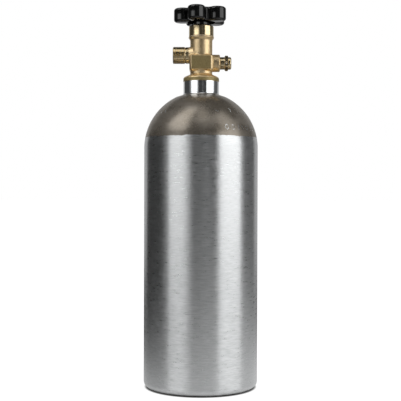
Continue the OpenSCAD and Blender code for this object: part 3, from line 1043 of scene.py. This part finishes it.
def hexagon(width, start, end):
    """A six-sided prism along Z, width across its flats, with corners at +X and -X."""
    bm = bmesh.new()
    corner = width / math.sqrt(3) * MM
    bmesh.ops.create_cone(
        bm, cap_ends=True, segments=6, radius1=corner, radius2=corner, depth=(end - start) * MM,
    )
    bmesh.ops.rotate(bm, cent=(0, 0, 0), matrix=rotation(30, "Z", 3), verts=bm.verts)
    return moved(bm, 0, 0, (start + end) / 2)


def chamfered_hexagon(width, start, end):
    """A hexagon whose corners are turned off at 30 degrees."""
    corner, face_r = width / math.sqrt(3), width / 2 * FACE_SHARE
    drop = (corner - face_r) * math.tan(math.radians(30))
    blank = turned([
        (0, start), (face_r, start), (corner, start + drop), (corner, end - drop), (face_r, end), (0, end),
    ])
    piece = to_object("hexagon", hexagon(width, start, end))
    cut(piece, blank, "INTERSECT")
    return piece


plug = chamfered_hexagon(HEX_W, hex_x, nose_x)
plug_blank = turned([
    (0, PLUG_LOW.x), (SAFETY_SHANK_R, PLUG_LOW.x), (SAFETY_SHANK_R, SAFETY_REACH),
    (SAFETY_NECK_R, SAFETY_REACH, 0.2), (SAFETY_NECK_R, nose_end - 1, 0.4),
    (SAFETY_NECK_R - 1, nose_end, 0.4), (0, nose_end),
])
cut(plug, plug_blank, "UNION")
cut(plug, bar(SAFETY_BORE_R, PLUG_LOW.x - 1, nose_x))
vent_middle = Matrix.Translation((0, 0, (hex_x + HEX_L / 2) * MM))
for degrees in (0, 60, 120):
    across = rotation(degrees, "Z") @ rotation(90, "X")
    cut(plug, laid(bar(VENT_R, -HEX_W, HEX_W, 32), vent_middle @ across))
plug.data.transform(ALONG_SAFETY)
install(plug, "cylinder", "safety_plug", "polished_brass", BRIGHT_X)

# %% [markdown]
# ## Handwheel
#
# The wheel has five lobes. Its outline is drawn with the same pen idea in the XY
# plane: an arc round each lobe's centre, then an arc back round the valley
# between two lobes. The outline is lifted to the wheel's height and all its
# edges are rounded, as on a moulding.

# %% Handwheel outline and body
LOBES = 5
LOBE_R = 10.3
LOBE_RING_R = 21.9
VALLEY_R = 3.0
LOBE_START = math.radians(-105)
WHEEL_TOP_EDGE_R = 6.6
WHEEL_LOW_EDGE_R = 4.6
UNDER_RECESS_R = 16.66
UNDER_RECESS_H = 8.3
TOP_RECESS_R = 14.0
TOP_RECESS_DEPTH = 5.4
HUB_R = 9.5
TURN_GAP = 0.5
WHEEL_H = 16.2
SQUARE_W = 6.8

rim_z = WHEEL_HIGH.z - WHEEL_H
hub_z = BONNET_HIGH.z + TURN_GAP
web_top = WHEEL_HIGH.z - TOP_RECESS_DEPTH
half_step = math.pi / LOBES
lobe_to_valley = LOBE_R + VALLEY_R
valley_ring_r = LOBE_RING_R * math.cos(half_step) + math.sqrt(
    lobe_to_valley**2 - (LOBE_RING_R * math.sin(half_step)) ** 2
)


def swing(bm, vert, centre, angle, steps):
    """Swings a vertex round an upright axis and returns the arc's end."""
    swept = bmesh.ops.spin(bm, geom=[vert], cent=centre, axis=(0, 0, 1), angle=angle, steps=steps)
    return swept["geom_last"][0]


def from_axis(angle, r):
    """The point at an angle and a radius in millimetres from the wheel's axis."""
    return Vector((math.cos(angle), math.sin(angle), 0)) * r * MM


def wheel_blank():
    bm = bmesh.new()
    across = valley_ring_r * math.cos(half_step) - LOBE_RING_R
    along = valley_ring_r * math.sin(half_step)
    lobe_half = math.atan2(along, across)
    valley_half = lobe_half - half_step
    start = from_axis(LOBE_START, LOBE_RING_R) + from_axis(LOBE_START - lobe_half, LOBE_R)
    vert = bm.verts.new(start + Vector((0, 0, rim_z * MM)))
    for lobe in range(LOBES):
        angle = LOBE_START + 2 * lobe * half_step
        vert = swing(bm, vert, from_axis(angle, LOBE_RING_R), 2 * lobe_half, 36)
        valley = from_axis(angle + half_step, valley_ring_r)
        vert = swing(bm, vert, valley, -2 * valley_half, 14)
    bmesh.ops.remove_doubles(bm, verts=bm.verts, dist=MERGE)
    bmesh.ops.contextual_create(bm, geom=bm.edges[:])
    outline = bm.faces[:]
    lifted = bmesh.ops.extrude_face_region(bm, geom=outline)
    raised = [item for item in lifted["geom"] if isinstance(item, bmesh.types.BMVert)]
    bmesh.ops.translate(bm, vec=(0, 0, (WHEEL_HIGH.z - rim_z) * MM), verts=raised)
    bmesh.ops.recalc_face_normals(bm, faces=bm.faces)
    for height, offset in ((WHEEL_HIGH.z, WHEEL_TOP_EDGE_R), (rim_z, WHEEL_LOW_EDGE_R)):
        rim = [e for e in bm.edges if all(abs(v.co.z - height * MM) < 0.01 * MM for v in e.verts)]
        round_edges(bm, rim, offset, segments=9, clamp=True)
    return bm


wheel = to_object("handwheel_moulding", wheel_blank())
ceiling = rim_z + UNDER_RECESS_H
under_recess = turned([
    (0, rim_z - 1), (UNDER_RECESS_R, rim_z - 1), (UNDER_RECESS_R, ceiling, 1.0), (0, ceiling),
])
hub = turned([(0, hub_z), (HUB_R, hub_z, 0.3), (HUB_R, web_top - 0.5), (0, web_top - 0.5)])
top_recess = turned([
    (0, web_top), (TOP_RECESS_R, web_top, 1.0), (TOP_RECESS_R, WHEEL_HIGH.z - 0.6, 0.3),
    (TOP_RECESS_R + 1.6, WHEEL_HIGH.z + 1), (0, WHEEL_HIGH.z + 1),
])
cut(wheel, under_recess)
cut(wheel, hub, "UNION")
cut(wheel, top_recess)
cut(wheel, moved(box(SQUARE_W, SQUARE_W, 40), 0, 0, rim_z))
install(wheel, "handwheel", "handwheel", "black_gloss", BLACK)

# %% [markdown]
# ## Stem, washer and nut
#
# The wheel sits on a square at the top of the stem and is held by a washer and a
# nut. The stem's lower end has a tongue that drives the plug.

# %% Stem, washer and nut
STEM_R = 4.75
STEM_COLLAR_R = 7.2
TONGUE_L = 5.025
COLLAR_H = 2.5
TONGUE_W = 2 * STEM_COLLAR_R - 1.2
TONGUE_T = STEM_HIGH.y - STEM_LOW.y - 11.4
STEM_THREAD_R = 3.0
WASHER_R = 7.0
WASHER_HOLE_R = 3.3
WASHER_T = 1.2
NUT_W = 11.0
NUT_BORE_R = 3.05
NUT_MOUTH_R = 3.6


def block(width, depth, low, high):
    """A box on the axis, between two heights."""
    return moved(box(width, depth, high - low), 0, 0, (low + high) / 2)


collar_low = STEM_LOW.z + TONGUE_L
collar_high = collar_low + COLLAR_H
square_w = SQUARE_W - 0.2
stem = to_object("valve_stem_turned", turned([
    (0, collar_low), (STEM_COLLAR_R, collar_low, 0.2), (STEM_COLLAR_R, collar_high, 0.2),
    (STEM_R, collar_high), (STEM_R, hub_z), (STEM_THREAD_R, hub_z), (STEM_THREAD_R, STEM_HIGH.z - 0.4),
    (STEM_THREAD_R - 0.4, STEM_HIGH.z), (0, STEM_HIGH.z),
], 64))
cut(stem, block(square_w, square_w, hub_z - 1, web_top - 0.3), "UNION")
cut(stem, block(TONGUE_W, TONGUE_T, STEM_LOW.z, collar_low + 0.5), "UNION")
install(stem, "handwheel", "valve_stem", "forged_brass", BRIGHT)

washer_top = web_top + WASHER_T
washer = to_object("wheel_washer_pressed", turned([
    (WASHER_HOLE_R, web_top), (WASHER_R, web_top, 0.15), (WASHER_R, washer_top, 0.3),
    (WASHER_HOLE_R, washer_top), (WASHER_HOLE_R, web_top),
], 64))
install(washer, "handwheel", "wheel_washer", "plated_steel", ZINC)

nut = chamfered_hexagon(NUT_W, NUT_LOW.z, NUT_HIGH.z)
nut.data.transform(rotation(30, "Z"))
cut(nut, turned([
    (0, NUT_LOW.z - 1), (NUT_BORE_R, NUT_LOW.z - 1), (NUT_BORE_R, NUT_HIGH.z - 0.5),
    (NUT_MOUTH_R, NUT_HIGH.z + 0.05), (NUT_MOUTH_R, NUT_HIGH.z + 1), (0, NUT_HIGH.z + 1),
], 48))
install(nut, "handwheel", "wheel_nut", "plated_steel", ZINC)

# %% [markdown]
# ## Seals and inner pieces
#
# The O-rings, gaskets, plug and disc are right as the CAD model has them, and
# hidden inside the valve. Each keeps its CAD mesh and gets its finish.

# %% Finish the inner pieces
INNER = {
    "neck_o_ring": ("seal_rubber", RUBBER), "stem_o_ring": ("seal_rubber", RUBBER),
    "backup_ring": ("seal_nylon", NYLON), "thrust_washer": ("seal_nylon", NYLON),
    "bonnet_gasket": ("seal_nylon", NYLON), "seat_insert": ("seal_nylon", NYLON),
    "disc_gasket": ("copper", COPPER), "burst_disc": ("copper", COPPER),
    "valve_plug": ("forged_brass", BRIGHT),
}
for name, (slot_name, material) in INNER.items():
    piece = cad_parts[name]
    piece.data.materials.clear()
    piece.data.materials.append(material)
print("inner pieces finished:", len(INNER))

# %% [markdown]
# ## The studio
#
# Polished metal shows the room more than itself. The cylinder stands between
# two soft white panels, with the dark camera side in front of it, so every round
# part has two bright bands and a dark middle. The panels and the dark flags are
# patches of a large sphere, and only reflections see them. The floor and the
# background are white, and three soft lamps give a weak shadow.

# %% Reflection panels
STUDIO_CENTRE = Vector((0, 0, 0.25))
STUDIO_R = 1.8


def glow(name, strength=1.0):
    """A material that glows white, and its light and output nodes."""
    material = bpy.data.materials.new(name)
    material.use_nodes = True
    material.node_tree.nodes.clear()
    light = node(material, "Emission")
    light.inputs["Strength"].default_value = strength
    output = node(material, "OutputMaterial")
    join(material, light.outputs["Emission"], output.inputs["Surface"])
    material.cycles.emission_sampling = "NONE"
    return material, light, output


def only_in_reflections(obj):
    """Hides an object from the camera, from dull surfaces and from the lamps."""
    obj.visible_camera = False
    obj.visible_diffuse = False
    obj.visible_shadow = False
    obj.visible_transmission = False


def sweep(bm, geom, axis, degrees):
    """Sweeps geometry about an axis, with a step about every four degrees."""
    steps = max(2, int(degrees / 4))
    bmesh.ops.spin(bm, geom=geom, cent=(0, 0, 0), axis=axis, angle=math.radians(degrees), steps=steps)


def panel(name, compass, height, strength):
    """A patch of the studio sphere.

    compass is from and to, in degrees right of the camera, and height is from and
    to, in degrees above the horizon.
    """
    (west, east), (low, high) = compass, height
    bm = bmesh.new()
    corner = bm.verts.new((0, -STUDIO_R, 0))
    bmesh.ops.rotate(bm, cent=(0, 0, 0), matrix=rotation(-low, "X", 3), verts=[corner])
    sweep(bm, [corner], (-1, 0, 0), high - low)
    bmesh.ops.rotate(bm, cent=(0, 0, 0), matrix=rotation(west, "Z", 3), verts=bm.verts)
    sweep(bm, bm.verts[:] + bm.edges[:], (0, 0, 1), east - west)
    bmesh.ops.translate(bm, vec=STUDIO_CENTRE, verts=bm.verts)
    obj = to_object(name, bm)
    obj.data.materials.append(glow(name, strength)[0])
    only_in_reflections(obj)


# (name, compass, height, strength), the softboxes in strips that fade at the sides
PANELS = [
    ("camera_side", (-14, 10.4), (-8, 50), 0.045),
    ("window_slit", (10.4, 11.2), (-8, 50), 0.6),
    ("camera_side_right", (11.2, 33), (-8, 50), 0.045),
    ("overhead", (-14, 33), (50, 90), 0.9),
    ("left_fade_in", (-84, -76), (-8, 17), 0.12),
    ("left_outer", (-76, -66), (-8, 17), 0.32),
    ("left_softbox", (-66, -36), (-8, 17), 1.55),
    ("left_inner", (-36, -28), (-8, 17), 1.3),
    ("left_fade_out", (-28, -20), (-8, 17), 0.72),
    ("left_shade", (-20, -14), (-8, 17), 0.07),
    ("left_gap", (-84, -14), (17, 32), 0.03),
    ("upper_left_softbox", (-82, -34), (32, 81), 2.1),
    ("upper_left_inner", (-34, -14), (32, 81), 0.04),
    ("top_left", (-84, -14), (81, 90), 0.02),
    ("left_flag", (-137, -84), (-8, 28), 0.05),
    ("left_high", (-137, -82), (28, 90), 0.10),
    ("right_fade_in", (33, 38), (-8, 30), 0.75),
    ("right_softbox", (38, 86), (-8, 30), 1.75),
    ("right_fade_out", (86, 95), (-8, 62), 0.35),
    ("upper_right_inner", (33, 46), (30, 62), 0.20),
    ("upper_right_softbox", (46, 86), (30, 62), 1.15),
    ("top_right", (33, 95), (62, 90), 0.02),
    ("right_flag", (95, 135), (-8, 90), 0.10),
    ("backdrop", (135, 223), (-8, 40), 0.45),
    ("top_back", (135, 223), (40, 90), 0.05),
]
for name, compass, height, strength in PANELS:
    panel(name, compass, height, strength)
print("studio panels:", len(PANELS))

# %% [markdown]
# The cylinder stands on a grey table. Only reflections see it, as a ring that
# starts under the cylinder's rounded edge. Its glow is painted light: brighter to
# the right, where more light would fall on it, and darker further away. The narrow
# gap under that edge gets a painted shadow, on the table and on the white floor.

# %% Grey table with painted light, for reflections
TABLE_START, TABLE_END, TABLE_Z = BODY_R - 6.5, 1790, 0.02
GAP_DARK_R, GAP_LIT_R = BODY_R - 3.2, BODY_R - 0.2

# From and to in metres, and the painted light at each, along the bright way and outwards.
BRIGHT_WAY = (0.94, -0.34, 0)
ALONG_LIGHT = (-0.4, 0.4, 0.12, 0.88)
OUTWARD_LIGHT = (0.12, 0.6, 1.15, 0.24)
GAP_LIGHT = (GAP_DARK_R * MM, GAP_LIT_R * MM, 0.03, 1.0)


def painted_gap_shadow(material):
    """A painted shadow: near 0 in the gap under the rounded edge, and 1 in the open."""
    return map_range(material, measure(material, "LENGTH"), *GAP_LIGHT)


def grey_table_painted_light():
    material, light, _ = glow("grey_table_painted_light")
    # The table's glow is painted light: brighter along the bright way, weaker outwards, and dark in the
    # gap.
    along = map_range(material, measure(material, "DOT_PRODUCT", BRIGHT_WAY), *ALONG_LIGHT)
    outward = map_range(material, measure(material, "LENGTH"), *OUTWARD_LIGHT)
    both = combine(material, "MULTIPLY", along, outward)
    join(material, combine(material, "MULTIPLY", both, painted_gap_shadow(material)), light.inputs["Strength"])
    return material


table_bm = bmesh.new()
table_edge = pen_down(table_bm, TABLE_START, TABLE_Z)
pen_line(table_bm, table_edge, TABLE_END, TABLE_Z)
turn(table_bm, 64)
table = to_object("table", table_bm)
table.data.materials.append(grey_table_painted_light())
only_in_reflections(table)

# %% [markdown]
# The world and the floor are white for the camera and for reflections, and give
# a plain level of light to everything dull. The floor glows a little less than
# white and takes the rest from the lamps, so the cylinder leaves a soft shadow.

# %% World, floor, lamps
WORLD_SEEN, WORLD_PLAIN = 1.0, 0.55
FLOOR_SEEN, FLOOR_PLAIN = 0.90, 0.35
FLOOR_GREY = 0.20


def level(owner, directly, otherwise):
    """One strength for camera, glossy and transmission rays, and another for the rest."""
    path = node(owner, "LightPath")
    seen = path.outputs["Is Camera Ray"]
    for name in ("Is Glossy Ray", "Is Transmission Ray"):
        seen = combine(owner, "MAXIMUM", seen, path.outputs[name])
    return map_range(owner, seen, 0, 1, otherwise, directly)


def floor_white():
    material, light, output = glow("floor_white")
    matte = node(material, "BsdfDiffuse")
    matte.inputs["Color"].default_value = (FLOOR_GREY, FLOOR_GREY, FLOOR_GREY, 1)
    both = node(material, "AddShader")
    # The floor's glow is multiplied by the painted shadow in the gap under the rounded edge.
    lit = combine(material, "MULTIPLY", level(material, FLOOR_SEEN, FLOOR_PLAIN), painted_gap_shadow(material))
    join(material, lit, light.inputs["Strength"])
    join(material, matte.outputs[0], both.inputs[0])
    join(material, light.outputs[0], both.inputs[1])
    join(material, both.outputs[0], output.inputs["Surface"])
    return material


world = bpy.data.worlds.new("white_studio")
world.use_nodes = True
bpy.context.scene.world = world
background = world.node_tree.nodes["Background"]
background.inputs["Color"].default_value = (1, 1, 1, 1)
join(world, level(world, WORLD_SEEN, WORLD_PLAIN), background.inputs["Strength"])

floor_bm = bmesh.new()
bmesh.ops.create_grid(floor_bm, x_segments=1, y_segments=1, size=30)
floor = to_object("floor", floor_bm)
floor.data.materials.append(floor_white())


def lamp(name, place, size, power):
    data = bpy.data.lights.new(name, "AREA")
    data.shape = "RECTANGLE"
    data.size, data.size_y = size
    data.energy = power
    obj = bpy.data.objects.new(name, data)
    obj.location = place
    aim = STUDIO_CENTRE - Vector(place)
    obj.rotation_euler = aim.to_track_quat("-Z", "Y").to_euler()
    obj.visible_glossy = False
    obj.visible_camera = False
    bpy.context.scene.collection.objects.link(obj)


lamp("right_lamp", (1.3, -0.9, 0.9), (0.9, 1.3), 12)
lamp("left_lamp", (-1.4, -0.7, 0.8), (0.9, 1.3), 9)
lamp("top_lamp", (0, 0.2, 1.9), (1.4, 1.4), 10)

# %% [markdown]
# ## Camera
#
# A long lens from about a metre away, level with the middle of the cylinder.

# %% Camera
CAMERA_PLACE = (-0.0004, -1.092, 0.2262)
AIM_PLACE = (-0.0004, 0, 0.2186)
ROLL_DEGREES = 0.17
LENS = 83.22

camera_data = bpy.data.cameras.new("camera")
camera_data.sensor_width = 36
camera_data.lens = LENS
camera = bpy.data.objects.new("camera", camera_data)
camera.location = CAMERA_PLACE
aim = Vector(AIM_PLACE) - camera.location
look = aim.to_track_quat("-Z", "Y").to_matrix() @ rotation(ROLL_DEGREES, "Z", 3)
camera.rotation_euler = look.to_euler()
bpy.context.scene.collection.objects.link(camera)
bpy.context.scene.camera = camera
bpy.context.scene.view_settings.view_transform = "Standard"
